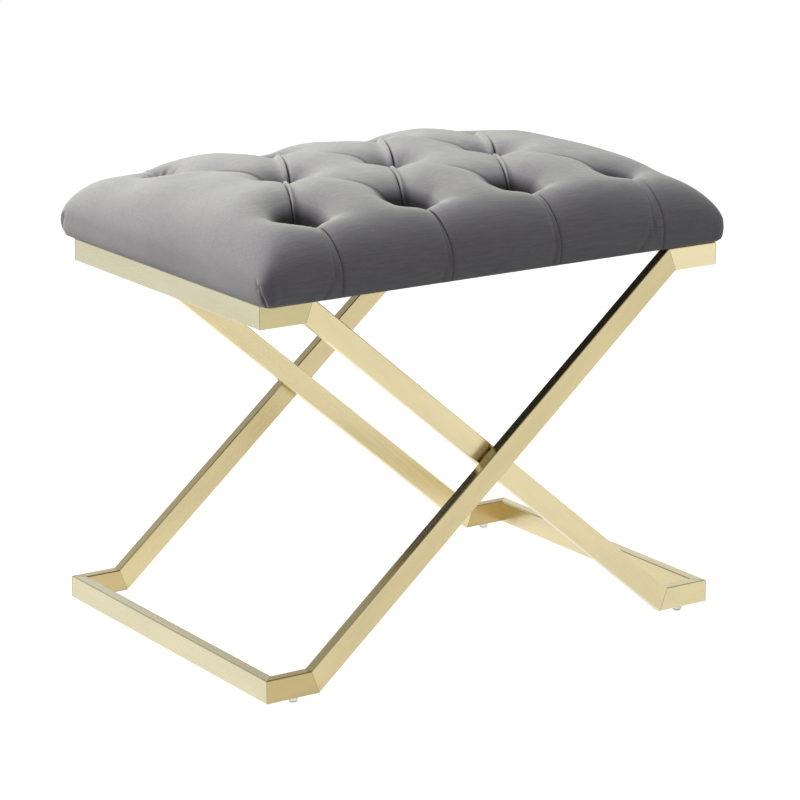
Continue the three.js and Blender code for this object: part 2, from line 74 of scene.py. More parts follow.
# Sockets of a mix node for its two colours and for their mix
FIRST_COLOUR = 6
SECOND_COLOUR = 7
MIXED_COLOUR = 2

# Velvet, seen along its pile and across it: its own tone face-on, and a painted sheen that lightens its
# colour where it is seen from the side
VELVET_DARK = (0.226, 0.213, 0.240)
VELVET_PAINTED_SHEEN = (0.525, 0.530, 0.505)
VELVET_POWER = 1.25
FACING_BLEND = 0.5
VELVET_SOCKETS = {
    "Roughness": 0.9, "Specular IOR Level": 0.1, "Sheen Weight": 0.15, "Sheen Roughness": 0.4,
    "Sheen Tint": (0.97, 0.97, 0.95, 1),
}

# Painted shade, partly crushed pile: depths in a tuft between which the velvet's colour goes from open to
# shaded, and the share of its tone left there
SHADE_RANGE = (0.014, 0.029)
SHADED_TONE_SHARE = 0.2

# Velvet's textures: scale, detail and roughness of each noise, its stretch, its spread and its relief
MOTTLE_NOISE = (16.0, 5.0, 0.62)
MOTTLE_SPREAD = (0.86, 1.12)
BRUSHED_NOISE = (110.0, 4.0, 0.6)
BRUSHED_STRETCH = (1.0, 0.28, 0.6)
BRUSHED_SPREAD = (-0.06, 0.06)
BRUSHED_RELIEF = (0.10, 0.0006)
PILE_NOISE = (1500.0, 2.0, 0.5)
PILE_RELIEF = (0.30, 0.00025)
STREAK_NOISE = (1.0, 3.0, 0.6)
STREAK_STRETCH = (45.0, 640.0, 520.0)
STREAK_SPREAD = (0.90, 1.10)
SPECK_NOISE = (620.0, 2.0, 0.6)
SPECK_SPREAD = (-0.05, 0.05)

# Gold of each tube, its tone painted lighter or darker to stand in for the light and reflections that fall
# on it
PLAIN_GOLD = (0.62, 0.525, 0.295)
GOLD_LIT_AND_SHADED_TONES = {
    "inner_frame": {
        "leg": (0.73, 0.63, 0.38), "top_stub": (0.57, 0.50, 0.27), "top_rail": (0.51, 0.48, 0.335),
        "bottom_stub_front": (0.74, 0.65, 0.39), "bottom_stub_back": (0.50, 0.38, 0.17),
        "bottom_rail": (0.72, 0.63, 0.38),
    },
    "outer_frame": {
        "leg": (0.64, 0.54, 0.305), "top_stub": (0.82, 0.72, 0.45), "top_rail": (0.72, 0.63, 0.38),
        "bottom_stub": (0.525, 0.42, 0.21), "bottom_rail": (0.61, 0.56, 0.375),
    },
}

# Gold's textures: fine grain along the tube, and broader patches
GRAIN_NOISE = (1.0, 4.0, 0.65)
GRAIN_STRETCH = (6.0, 620.0, 620.0)
GRAIN_SHARE = 0.4
GRAIN_RELIEF = (0.12, 0.00004)
PATCH_NOISE = (1.0, 5.0, 0.6)
PATCH_STRETCH = (9.0, 34.0, 34.0)
PATCH_SHARE = 0.6
TONE_SPREAD = (0.92, 1.07)
GOLD_ROUGHNESS = (0.18, 0.30)

# Section of the raised line along a mitre: across the seam, and out from the tube
SEAM_SECTION = [(-0.00035, -0.0002), (-0.0002, 0.00008), (0.0002, 0.00008), (0.00035, -0.0002)]

# Tubes that meet share at least this many corners, once their places are rounded to these decimals
SHARED_CORNERS = 8
PLACE_DECIMALS = 5

# Weld beads round the spacers, and the dust cover's staples
BAR_SIDES = 8
WELD_RADIUS = 0.0008
WELD_STEPS = 48
STAPLE_COUNT = 9
STAPLE_REACH = 0.190
STAPLE_MARGIN = 0.007
STAPLE_LENGTH = 0.010
STAPLE_RADIUS = 0.0003
STAPLE_CORNER = 0.0004
STAPLE_BEND = 0.0001

# Cushion outline, from the CAD cover's box
COVER_LOW, COVER_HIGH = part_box("seat_cover")
RAIL_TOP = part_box("inner_frame_top_rail")[1].z
HALF_LENGTH = COVER_HIGH.x
HALF_DEPTH = COVER_HIGH.y
END_SHOULDER = 0.059
SIDE_SHOULDER = 0.058
SHOULDER_POWER = 2.95
CORNER_POWER = 10
CORNER_TOP_POWER = 2.8
CORNER_GROWTH = 1.8
CROWN_HEIGHT = 0.0926
END_FALL = 0.0248
END_POWER = 4
FRONT_FALL = 0.0305
BACK_FALL = 0.0268
FRONT_POWER = 3.4
BACK_POWER = 2.85
FALL_JOIN = 1.4

# Walls below the widest line, which tuck in to the base
WALL_HEIGHT = 0.024
WALL_TUCK = 0.006
WALL_POWER = 3.6
BASE_HEIGHT = COVER_LOW.z - RAIL_TOP
BASE_MARGIN = 0.010
HEM_HEIGHT = 0.004
HEM_SHARE = 0.4

# Where the outline faces far enough to the front or back to carry pleats
LONG_SIDE_FROM = 0.6
LONG_SIDE_FADE = 0.3

# Uneven stuffing: place, radius and rise of each swell or sag of the top
SWELLS = [
    (0.132, -0.200, 0.035, 0.0044),
    (0.235, -0.200, 0.030, 0.0011),
    (-0.245, 0.000, 0.060, -0.0035),
    (-0.132, -0.073, 0.040, 0.0013),
    (0.000, -0.073, 0.040, 0.0035),
    (-0.198, -0.073, 0.040, 0.0038),
    (-0.198, 0.073, 0.040, -0.0055),
    (0.066, 0.090, 0.040, 0.0047),
    (0.200, -0.030, 0.050, 0.0022),
    (-0.250, 0.120, 0.040, -0.0060),
    (-0.218, 0.180, 0.036, -0.0048),
    (-0.042, 0.184, 0.016, -0.0037),
    (0.088, 0.184, 0.012, -0.0020),
    (0.232, 0.172, 0.020, -0.0020),
    (0.262, -0.150, 0.036, -0.0040),
]

# Slow waves of the cover along X and Y, and finer ones across all three axes
WAVE_RISE = 0.0008
WAVE_RATES = (21, 27)
WAVE_TURNS = (1.3, 0.4)
RIPPLE_RISE = 0.0003
RIPPLE_RATES = (47, 23, 40)
RIPPLE_TURN = 2.0

# Tufts: four, three and four, set as diamonds
TUFT_PITCH = 0.132
ROW_SPACING = 0.146
TUFT_STRENGTHS = {
    "front": (1.15, 1.12, 1.05, 0.6),
    "mid": (0.85, 0.80, 0.80),
    "back": (0.4, 0.85, 0.85, 0.55),
}
TUFT_SIDES = {"front": -1, "mid": 0, "back": 1}
PIT_DEPTH = 0.033
PIT_NECK = 0.0120
PIT_POWER = 1.5
PIT_SHIFT = 0.0028
FUNNEL_DEPTH = 0.0149
FUNNEL_RADIUS = 0.0311
FUNNEL_SHIFT = 0.0105

# Gathers that run into a pit: waves round it, their turn from one tuft to the next, and their share
GATHERS = [(9, 1.7, 1.0), (14, 2.9, 0.6)]
PUCKER_DEPTH = 0.0009
PUCKER_RADIUS = 0.011
PUCKER_WIDTH = 0.008

# Folds between tufts, each a valley that deepens at its tufts, with a narrow flap of velvet along it
VALLEY_DEPTH = 0.006
VALLEY_WIDTH = 0.016
VALLEY_ROUNDING = 0.003
VALLEY_PULL = 0.017
PULL_REACH = 0.018
FRONT_TIGHTNESS = 2.0
CREASE_POWER = 4
FLAP_HEIGHT = 0.0026
FLAP_SLOPE = 0.0028
FLAP_EDGE = 0.0008
FLAP_START = 0.012
GROOVE_DEPTH = 0.0040
GROOVE_WIDTH = 0.0011

# Where a flap lies beside its fold: the sharp edge and the soft one, and the share of the full height
FLAPS = {"front": (-0.0055, -0.0015, 1.0), "back": (0.0080, 0.0026, 1.0), "cross": (0.0006, -0.0045, 0.35)}

# A fold that leans against the others shows an edge over part of its length only
CROSS_SHARE = 0.6
CROSS_FADE = 0.3

# Pleats from the outer tufts down the walls: offsets of the two edge lines from their tuft
FRONT_PLEATS = [(-0.018, 0.002), (-0.009, 0.001), (-0.0045, 0.003), (-0.025, 0.0045)]
BACK_PLEATS = [(-0.006, 0.005), (-0.014, 0.002), (-0.004, 0.004), (-0.010, 0.008)]

# Furrow in which a pleat starts from its tuft
PLEAT_DEPTH = 0.0055
BACK_PLEAT_DEPTH = 0.011
PLEAT_WIDTH = 0.014

# Way down from the tuft over which a pleat appears and spreads: 1 is the outline and 2 the base
PLEAT_START = 0.12
PLEAT_FADE = 0.4
PLEAT_SPREAD_START = 0.5
PLEAT_SPREAD = 1.5

# Section of a pleat: a soft rise past a dip on the left, and a drop with a ridge and a groove on the right
PLEAT_STEP = 0.0010
PLEAT_RISE_START = 0.0015
PLEAT_RISE = 0.004
PLEAT_DROP = 0.0010
PLEAT_DIP = 0.00045
PLEAT_DIP_PLACE = 0.0014
PLEAT_DIP_WIDTH = 0.0018
PLEAT_RIDGE = 0.00012
PLEAT_RIDGE_PLACE = 0.0012
PLEAT_RIDGE_WIDTH = 0.0009
PLEAT_GROOVE = 0.0009
PLEAT_GROOVE_PLACE = 0.0008
PLEAT_GROOVE_WIDTH = 0.0010

# Painted shade along the edges of folds and pleats, partly crushed pile: the depth in a tuft whose shade it
# matches
CREASE_SHADE = 0.030
RIGHT_SHADE_WIDTH = 0.0014
LEFT_SHADE_WIDTH = 0.0020
LEFT_SHADE_SHARE = 0.6

# The painted shade is deeper in the front row's tufts than in the others, by this share, from between it and
# the mid row on
FRONT_SHADE = 0.45
FRONT_SHADE_START = 0.5 * ROW_SPACING
FRONT_SHADE_FADE = 0.2 * ROW_SPACING

# The painted shade of each tuft is moved towards the left end, so that the right wall of each hollow, which
# the light from the left falls on, stays light
SHADE_SHIFT = 0.003

# Folded corner of the cover, low on each end face beside the long side
CORNER_FLAP_TOP = 0.031
CORNER_FLAP_FADE = 0.008
CORNER_FLAP_INSET = 0.003
CORNER_FLAP_SWEEP = 0.014
CORNER_FLAP_REACH = 0.020
CORNER_FLAP_START = 0.010
CORNER_FLAP_STEP = 0.0018
CORNER_STEP_WIDTH = 0.0014
CORNER_STEP_REACH = 0.009
CORNER_NOTCH_PLACE = 0.0013
CORNER_NOTCH_WIDTH = 0.0012

# Mesh fineness of the cushion, and how its grid is drawn to the folds
GRID_STEP = 0.0014
SHOULDER_STEPS = 34
WALL_RINGS = 16
WARP_SHARE = 0.62
WARP_REACH = 0.006
WARP_FADE = 0.3

# Least length that a direction or a rounding is divided by
TINY = 1e-12


# Node helpers

def start_material(name):
    material = bpy.data.materials.new(name)
    material.use_nodes = True
    tree = material.node_tree
    return material, tree, tree.nodes["Principled BSDF"]


def add_node(tree, kind, settings=None, inputs=None):
    node = tree.nodes.new(kind)
    for key, value in (settings or {}).items():
        setattr(node, key, value)
    for key, value in (inputs or {}).items():
        if isinstance(value, bpy.types.NodeSocket):
            tree.links.new(value, node.inputs[key])
        else:
            node.inputs[key].default_value = value
    return node


def set_sockets(shader, values):
    for name, value in values.items():
        shader.inputs[name].default_value = value


def object_coordinates(tree, turn=(0, 0, 0), scale=(1, 1, 1)):
    """Coordinates of the object, turned back by the given angles and then scaled."""
    coordinates = tree.nodes.new("ShaderNodeTexCoord")
    mapping = add_node(tree, "ShaderNodeMapping", {"vector_type": "TEXTURE"}, {
        "Vector": coordinates.outputs["Object"], "Rotation": turn, "Scale": [1 / value for value in scale],
    })
    return mapping.outputs[0]


def noise(tree, vector, scale, detail, roughness):
    node = add_node(tree, "ShaderNodeTexNoise", inputs={
        "Vector": vector, "Scale": scale, "Detail": detail, "Roughness": roughness,
    })
    return node.outputs["Fac"]


def spread(tree, value, low, high, source=NOISE_RANGE):
    node = add_node(tree, "ShaderNodeMapRange", inputs={
        "Value": value, "From Min": source[0], "From Max": source[1], "To Min": low, "To Max": high,
    })
    return node.outputs[0]


def arithmetic(tree, operation, first, second):
    node = add_node(tree, "ShaderNodeMath", {"operation": operation}, {0: first, 1: second})
    return node.outputs[0]


def blend_colours(tree, share, first, second):
    inputs = {"Factor": share, FIRST_COLOUR: (*first, 1), SECOND_COLOUR: (*second, 1)}
    return add_node(tree, "ShaderNodeMix", {"data_type": "RGBA"}, inputs).outputs[MIXED_COLOUR]


def multiply_colours(tree, first, second):
    settings = {"data_type": "RGBA", "blend_type": "MULTIPLY"}
    inputs = {"Factor": 1.0, FIRST_COLOUR: first, SECOND_COLOUR: second}
    return add_node(tree, "ShaderNodeMix", settings, inputs).outputs[MIXED_COLOUR]


def bump(tree, height, strength, distance, normal=None):
    inputs = {"Height": height, "Strength": strength, "Distance": distance}
    if normal is not None:
        inputs["Normal"] = normal
    return add_node(tree, "ShaderNodeBump", inputs=inputs).outputs[0]


def seen_by(tree, kinds):
    """1 for the named kinds of ray, and 0 for the light that falls on things."""
    path = tree.nodes.new("ShaderNodeLightPath")
    share = path.outputs[f"Is {kinds[0]} Ray"]
    for kind in kinds[1:]:
        share = arithmetic(tree, "MAXIMUM", share, path.outputs[f"Is {kind} Ray"])
    return share


# Mesh helpers

def new_mesh(name, vertices, faces, smooth=False):
    mesh = bpy.data.meshes.new(name)
    mesh.from_pydata(vertices, [], faces)
    mesh.polygons.foreach_set("use_smooth", [smooth] * len(mesh.polygons))
    mesh.validate()
    return mesh


def add_object(mesh, material):
    thing = bpy.data.objects.new(mesh.name, mesh)
    bpy.context.scene.collection.objects.link(thing)
    mesh.materials.append(material)
    return thing


def add_piece(mesh, material):
    piece = add_object(mesh, material)
    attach(piece, "root")


# Camera, light and floor

def add_camera():
    sin_a, cos_a = math.sin(CAMERA_AZIMUTH), math.cos(CAMERA_AZIMUTH)
    sin_e, cos_e = math.sin(CAMERA_ELEVATION), math.cos(CAMERA_ELEVATION)
    forward = Vector((sin_a * cos_e, cos_a * cos_e, -sin_e))
    level = Vector((cos_a, -sin_a, 0))
    upright = level.cross(forward)
    right = level * math.cos(CAMERA_ROLL) + upright * math.sin(CAMERA_ROLL)
    up = upright * math.cos(CAMERA_ROLL) - level * math.sin(CAMERA_ROLL)
    data = bpy.data.cameras.new("camera")
    data.sensor_width = SENSOR_WIDTH
    data.lens = FOCAL_LENGTH
    data.clip_end = VIEW_DEPTH
    camera = bpy.data.objects.new("camera", data)
    turn = Matrix((right, up, -forward)).transposed()
    camera.matrix_world = Matrix.Translation(CAMERA_PLACE) @ turn.to_4x4()
    bpy.context.scene.collection.objects.link(camera)
    bpy.context.scene.camera = camera


def add_lamp(name, place, size, power, colour):
    data = bpy.data.lights.new(name, "AREA")
    data.shape = "DISK"
    data.size = size
    data.energy = power
    data.color = colour
    lamp = bpy.data.objects.new(name, data)
    lamp.location = place
    lamp.visible_glossy = False
    aim = Vector((0, 0, RAIL_TOP)) - Vector(place)
    lamp.rotation_euler = aim.to_track_quat("-Z", "Y").to_euler()
    bpy.context.scene.collection.objects.link(lamp)


def set_world():
    """Even light all round, duller in gloss, and white where the camera looks past the backdrop."""
    world = bpy.data.worlds.new("studio")
    world.use_nodes = True
    tree = world.node_tree
    tree.nodes.clear()
    level = add_node(tree, "ShaderNodeMapRange", inputs={
        "Value": seen_by(tree, ("Glossy",)), "To Min": AMBIENT_LEVEL, "To Max": GLOSS_LEVEL,
    })
    light = add_node(tree, "ShaderNodeBackground", inputs={"Color": WHITE, "Strength": level.outputs[0]})
    white = add_node(tree, "ShaderNodeBackground", inputs={"Color": WHITE, "Strength": 1.0})
    mix = add_node(tree, "ShaderNodeMixShader", inputs={
        "Fac": seen_by(tree, ("Camera", "Transmission")), 1: light.outputs[0], 2: white.outputs[0],
    })
    add_node(tree, "ShaderNodeOutputWorld", inputs={"Surface": mix.outputs[0]})
    bpy.context.scene.world = world


def floor_corners(height):
    """Corners of the floor's square, at the given height above it."""
    half = FLOOR_SIZE / 2
    return [(-half, -half, height), (half, -half, height), (half, half, height), (-half, half, height)]


def add_floor():
    material, tree, shader = start_material("floor_white")
    set_sockets(shader, {
        "Base Color": (FLOOR_COLOUR, FLOOR_COLOUR, FLOOR_COLOUR, 1), "Roughness": 1.0,
        "Specular IOR Level": 0.0, "Emission Color": WHITE,
    })
    lift = arithmetic(tree, "MULTIPLY", seen_by(tree, BACKGROUND_RAYS), FLOOR_LIFT)
    tree.links.new(lift, shader.inputs["Emission Strength"])
    floor = add_object(new_mesh("floor", floor_corners(0), [(0, 1, 2, 3)]), material)


def add_backdrop():
    """White walls round the floor, seen by the camera and in gloss, that let the light through."""
    low, high = floor_corners(0), floor_corners(BACKDROP_HEIGHT)
    sides = len(low)
    walls = [(i, (i + 1) % sides, (i + 1) % sides + sides, i + sides) for i in range(sides)]
    material, tree, shader = start_material("backdrop_white")
    open_air = tree.nodes.new("ShaderNodeBsdfTransparent")
    white = add_node(tree, "ShaderNodeEmission", inputs={"Color": WHITE, "Strength": 1.0})
    mix = add_node(tree, "ShaderNodeMixShader", inputs={
        "Fac": seen_by(tree, BACKGROUND_RAYS), 1: open_air.outputs[0], 2: white.outputs[0],
    })
    tree.nodes.remove(shader)
    tree.links.new(mix.outputs[0], tree.nodes["Material Output"].inputs["Surface"])
    backdrop = add_object(new_mesh("backdrop", low + high, walls), material)


# Materials

def velvet_material():
    material, tree, shader = start_material("velvet")
    place = object_coordinates(tree)
    mottle = noise(tree, place, *MOTTLE_NOISE)
    brushed = noise(tree, object_coordinates(tree, scale=BRUSHED_STRETCH), *BRUSHED_NOISE)
    pile = noise(tree, place, *PILE_NOISE)
    nap = bump(tree, pile, *PILE_RELIEF, bump(tree, brushed, *BRUSHED_RELIEF))
    tree.links.new(nap, shader.inputs["Normal"])

    # Painted sheen: the colour is dark where the pile points at the eye, and painted lighter where it is
    # seen from the side
    aside = add_node(tree, "ShaderNodeLayerWeight", inputs={"Blend": FACING_BLEND}).outputs["Facing"]
    broad, fine = spread(tree, mottle, *MOTTLE_SPREAD), spread(tree, brushed, *BRUSHED_SPREAD)
    uneven = arithmetic(tree, "ADD", broad, fine)
    sheen = arithmetic(tree, "MULTIPLY", arithmetic(tree, "POWER", aside, VELVET_POWER), uneven)

    # Painted shade, partly crushed pile: its colour is darkened, with less of its painted sheen, where it
    # runs down into a tuft and along the edges of folds
    depth = add_node(tree, "ShaderNodeAttribute", {"attribute_name": "painted_shade_depth"}).outputs["Fac"]
    unshaded_share = spread(tree, depth, 1.0, SHADED_TONE_SHARE, SHADE_RANGE)
    unshaded_sheen = arithmetic(tree, "MULTIPLY", sheen, unshaded_share)
    colour = blend_colours(tree, unshaded_sheen, VELVET_DARK, VELVET_PAINTED_SHEEN)

    # Its weave runs along the seat in fine streaks
    streaks = noise(tree, object_coordinates(tree, scale=STREAK_STRETCH), *STREAK_NOISE)
    specks = noise(tree, place, *SPECK_NOISE)
    threads, points = spread(tree, streaks, *STREAK_SPREAD), spread(tree, specks, *SPECK_SPREAD)
    weave = arithmetic(tree, "ADD", threads, points)
    woven = multiply_colours(tree, colour, arithmetic(tree, "MULTIPLY", unshaded_share, weave))
    tree.links.new(woven, shader.inputs["Base Color"])
    set_sockets(shader, VELVET_SOCKETS)
    return material


def gold_material(name, along, tone):
    """Satin brushed metal whose grain runs along the given direction in the XZ plane, or along Y."""
    material, tree, shader = start_material(name)
    turn = (0, 0, math.pi / 2) if along == "y" else (0, along, 0)
    grain = noise(tree, object_coordinates(tree, turn, GRAIN_STRETCH), *GRAIN_NOISE)
    patches = noise(tree, object_coordinates(tree, turn, PATCH_STRETCH), *PATCH_NOISE)
    broad, fine = spread(tree, patches, 0.0, PATCH_SHARE), spread(tree, grain, 0.0, GRAIN_SHARE)
    shade = arithmetic(tree, "ADD", broad, fine)
    low, high = [[value * factor for value in tone] for factor in TONE_SPREAD]
    tree.links.new(blend_colours(tree, shade, low, high), shader.inputs["Base Color"])
    tree.links.new(spread(tree, grain, *GOLD_ROUGHNESS), shader.inputs["Roughness"])
    tree.links.new(bump(tree, grain, *GRAIN_RELIEF), shader.inputs["Normal"])
    set_sockets(shader, {"Metallic": 1.0})
    return material


def speckled_material(name, spots, tones, sockets, roughness=None, relief=None, stretch=(1, 1, 1)):
    """One fine noise drives the tone and, where they are given, the range of roughness and the relief."""
    material, tree, shader = start_material(name)
    speckle = noise(tree, object_coordinates(tree, scale=stretch), *spots)
    colour = blend_colours(tree, spread(tree, speckle, 0.0, 1.0), *tones)
    tree.links.new(colour, shader.inputs["Base Color"])
    if roughness is not None:
        tree.links.new(spread(tree, speckle, *roughness), shader.inputs["Roughness"])
    if relief is not None:
        tree.links.new(bump(tree, speckle, *relief), shader.inputs["Normal"])
    set_sockets(shader, sockets)
    return material


def seam_material():
    """Dressed weld along a mitre, a little darker than the tube."""
    return speckled_material(
        "gold_seams", spots=(900.0, 3.0, 0.6), tones=((0.30, 0.24, 0.12), (0.44, 0.36, 0.19)),
        roughness=(0.30, 0.45), relief=(0.2, 0.00005), sockets={"Metallic": 1.0},
    )


def dust_cloth_material():
    return speckled_material(
        "dust_cloth", spots=(700.0, 4.0, 0.7), tones=((0.010, 0.010, 0.011), (0.026, 0.026, 0.028)),
        relief=(0.4, 0.0003), sockets={"Roughness": 0.95, "Sheen Weight": 0.1},
    )


def twine_material():
    return speckled_material(
        "twine", spots=(1800.0, 3.0, 0.6), tones=((0.10, 0.098, 0.105), (0.18, 0.177, 0.185)),
        relief=(0.5, 0.0002), stretch=(1, 1, 0.4), sockets={"Roughness": 0.9},
    )


def zinc_material():
    return speckled_material(
        "zinc_steel", spots=(420.0, 3.0, 0.5), tones=((0.46, 0.47, 0.49), (0.62, 0.63, 0.65)),
        roughness=(0.28, 0.46), relief=(0.1, 0.0001), sockets={"Metallic": 1.0},
    )


def plywood_material():
    return speckled_material(
        "plywood", spots=(4.0, 5.0, 0.6), tones=((0.42, 0.29, 0.16), (0.62, 0.46, 0.28)),
        relief=(0.2, 0.0003), stretch=(3.0, 60.0, 60.0), sockets={"Roughness": 0.7},
    )


def clear_plastic_material():
    return speckled_material(
        "clear_plastic", spots=(300.0, 2.0, 0.5), tones=((0.80, 0.80, 0.78), (0.90, 0.90, 0.88)),
        roughness=(0.08, 0.2), sockets={"IOR": 1.45, "Transmission Weight": 0.85},
    )


# Places of the tufts and folds

def tuft_places():
    return [
        {
            "row": row, "index": i, "strength": strength, "side": TUFT_SIDES[row],
            "x": (i - (len(strengths) - 1) / 2) * TUFT_PITCH, "y": TUFT_SIDES[row] * ROW_SPACING,
        }
        for row, strengths in TUFT_STRENGTHS.items()
        for i, strength in enumerate(strengths)
    ]


def fold_between(outer, mid):
    """A fold from an outer tuft to a mid one: its run, its normal, and the kind of flap along it."""
    run = (mid["x"] - outer["x"], mid["y"] - outer["y"])
    length = math.hypot(*run)
    return {
        "outer": outer, "run": run, "length": length,
        "normal": Vector((abs(run[1]), -math.copysign(1, run[1]) * run[0])) / length,
        "kind": outer["row"] if run[0] * run[1] > 0 else "cross",
    }


TUFTS = tuft_places()
OUTER_TUFTS = [tuft for tuft in TUFTS if tuft["row"] != "mid"]
MID_TUFTS = [tuft for tuft in TUFTS if tuft["row"] == "mid"]
FOLDS = [
    fold_between(outer, mid)
    for outer in OUTER_TUFTS
    for mid in MID_TUFTS
    if abs(abs(outer["x"] - mid["x"]) - TUFT_PITCH / 2) < GRID_STEP
]


def smooth_step(value):
    held = np.clip(value, 0, 1)
    return held * held * (3 - 2 * held)


def gauss(value, width):
    return np.exp(-((value / width) ** 2))


def fold_place(x, y, fold):
    """Places by a fold: along it from the outer tuft, aside of it, and beyond each of its ends."""
    from_x, from_y = x - fold["outer"]["x"], y - fold["outer"]["y"]
    along = (from_x * fold["run"][0] + from_y * fold["run"][1]) / fold["length"]
    aside = from_x * fold["normal"].x + from_y * fold["normal"].y
    return along, aside, np.maximum(0, -along), np.maximum(0, along - fold["length"])


# Form of the cushion's top

def crown(x, y):
    """Height of the untufted top: an even fall to its four edges, with the swells and sags of stuffing."""
    ends = END_FALL * (np.abs(x) / HALF_LENGTH) ** END_POWER
    front = FRONT_FALL * (np.abs(y) / HALF_DEPTH) ** FRONT_POWER
    back = BACK_FALL * (np.abs(y) / HALF_DEPTH) ** BACK_POWER
    sides = np.where(y < 0, front, back)
    height = CROWN_HEIGHT - (ends**FALL_JOIN + sides**FALL_JOIN) ** (1 / FALL_JOIN)
    for swell_x, swell_y, radius, rise in SWELLS:
        height += rise * gauss(np.hypot(x - swell_x, y - swell_y), radius)
    return height


def pit_hollow(x, y):
    """Depth of the tufts: a narrow neck in a wide funnel, both drawn towards the middle of the seat."""
    total = np.zeros_like(x)
    for tuft in TUFTS:
        away = np.hypot(x - tuft["x"], y - tuft["y"] + tuft["side"] * PIT_SHIFT)
        wide = np.hypot(x - tuft["x"], y - tuft["y"] + tuft["side"] * FUNNEL_SHIFT)
        neck = PIT_DEPTH * np.exp(-((away / PIT_NECK) ** PIT_POWER))
        total += tuft["strength"] * (neck + FUNNEL_DEPTH * gauss(wide, FUNNEL_RADIUS))
    return total


def pucker(x, y):
    """Small gathers that run into each pit."""
    total = np.zeros_like(x)
    for number, tuft in enumerate(TUFTS):
        away = np.hypot(x - tuft["x"], y - tuft["y"])
        angle = np.arctan2(y - tuft["y"], x - tuft["x"])
        waves = sum(share * np.sin(count * angle + turn * number) for count, turn, share in GATHERS)
        total += PUCKER_DEPTH * waves * gauss(away - PUCKER_RADIUS, PUCKER_WIDTH)
    return total


def valleys(x, y):
    """Depth of the folds between tufts, and of the furrows in which the pleats start."""
    total = np.zeros_like(x)
    for fold in FOLDS:
        outer = fold["outer"]
        along, aside, before, after = fold_place(x, y, fold)
        inside = np.clip(along, 0, fold["length"])
        outer_pull = outer["strength"] * np.exp(-inside / PULL_REACH)
        pull = outer_pull + np.exp((inside - fold["length"]) / PULL_REACH)
        tightness = FRONT_TIGHTNESS if outer["row"] == "front" else 1
        away = np.hypot(np.hypot(aside, VALLEY_ROUNDING) - VALLEY_ROUNDING, tightness * before + after)
        total += ((VALLEY_DEPTH + VALLEY_PULL * pull) * np.exp(-away / VALLEY_WIDTH)) ** CREASE_POWER
    for tuft in OUTER_TUFTS:
        depth = PLEAT_DEPTH if tuft["row"] == "front" else BACK_PLEAT_DEPTH
        short = np.minimum(0, tuft["side"] * (y - tuft["y"]))
        away = np.hypot(x - tuft["x"], short)
        total += (depth * tuft["strength"] * np.exp(-away / PLEAT_WIDTH)) ** CREASE_POWER
    return total ** (1 / CREASE_POWER)


def flaps(x, y):
    """Folded edges along the folds, each a raised band with a groove, and how deep the painted shade in the
    groove is.
    """
    total = np.zeros_like(x)
    pressed = np.zeros_like(x)
    for fold in FOLDS:
        along, aside = fold_place(x, y, fold)[:2]
        edge, soft_edge, share = FLAPS[fold["kind"]]
        facing = math.copysign(1, edge)
        fade = smooth_step(along / FLAP_START) * smooth_step((fold["length"] - along) / FLAP_START)
        if fold["kind"] == "cross":
            way = along / fold["length"]
            gone = way if fold["outer"]["row"] == "front" else 1 - way
            fade = fade * smooth_step((CROSS_SHARE - gone) / CROSS_FADE)
        from_soft, from_edge = facing * (aside - soft_edge), facing * (edge - aside)
        band = smooth_step(from_soft / FLAP_SLOPE) * smooth_step(from_edge / FLAP_EDGE)
        groove = gauss(from_edge + FLAP_EDGE, GROOVE_WIDTH)
        total += fade * (share * FLAP_HEIGHT * band - GROOVE_DEPTH * groove)
        # Painted shade along the groove
        pressed += fade * CREASE_SHADE * groove
    return total, pressed


def pleat_lines(tuft, down):
    """X of a pleat's two edge lines. Down runs from 0 at the tuft to 1 at the outline and 2 at the base."""
    table = FRONT_PLEATS if tuft["row"] == "front" else BACK_PLEATS
    left, right = table[tuft["index"]]
    return tuft["x"] + left * smooth_step((down - PLEAT_SPREAD_START) / PLEAT_SPREAD), tuft["x"] + right


def pleats(x, down, side):
    """How far the pleats of one long side stand out of it, and the painted shade along their edges."""
    total = np.zeros_like(x)
    pressed = np.zeros_like(x)
    for tuft in OUTER_TUFTS:
        if tuft["side"] != side:
            continue
        left, right = pleat_lines(tuft, down)
        from_left, from_right = x - left, x - right
        fade = smooth_step((down - PLEAT_START) / PLEAT_FADE)
        rise = smooth_step((from_left + PLEAT_RISE_START) / PLEAT_RISE)
        drop = smooth_step(-from_right / PLEAT_DROP)
        ridge = PLEAT_RIDGE * gauss(from_right + PLEAT_RIDGE_PLACE, PLEAT_RIDGE_WIDTH)
        groove = PLEAT_GROOVE * gauss(from_right - PLEAT_GROOVE_PLACE, PLEAT_GROOVE_WIDTH)
        dip = PLEAT_DIP * gauss(from_left + PLEAT_DIP_PLACE, PLEAT_DIP_WIDTH)
        total += fade * (PLEAT_STEP * rise * drop + ridge - groove - dip)
        # Painted shade along the pleat's two edge lines, partly crushed pile
        right_crease_shade = gauss(from_right, RIGHT_SHADE_WIDTH)
        left_crease_shade = LEFT_SHADE_SHARE * gauss(from_left + PLEAT_DIP_PLACE, LEFT_SHADE_WIDTH)
        pressed += fade * CREASE_SHADE * (right_crease_shade + left_crease_shade)
    return total, pressed


def long_side_pleats(x, down, side):
    front, back = pleats(x, down, -1), pleats(x, down, 1)
    return np.where(side < 0, front[0], back[0]), np.where(side < 0, front[1], back[1])


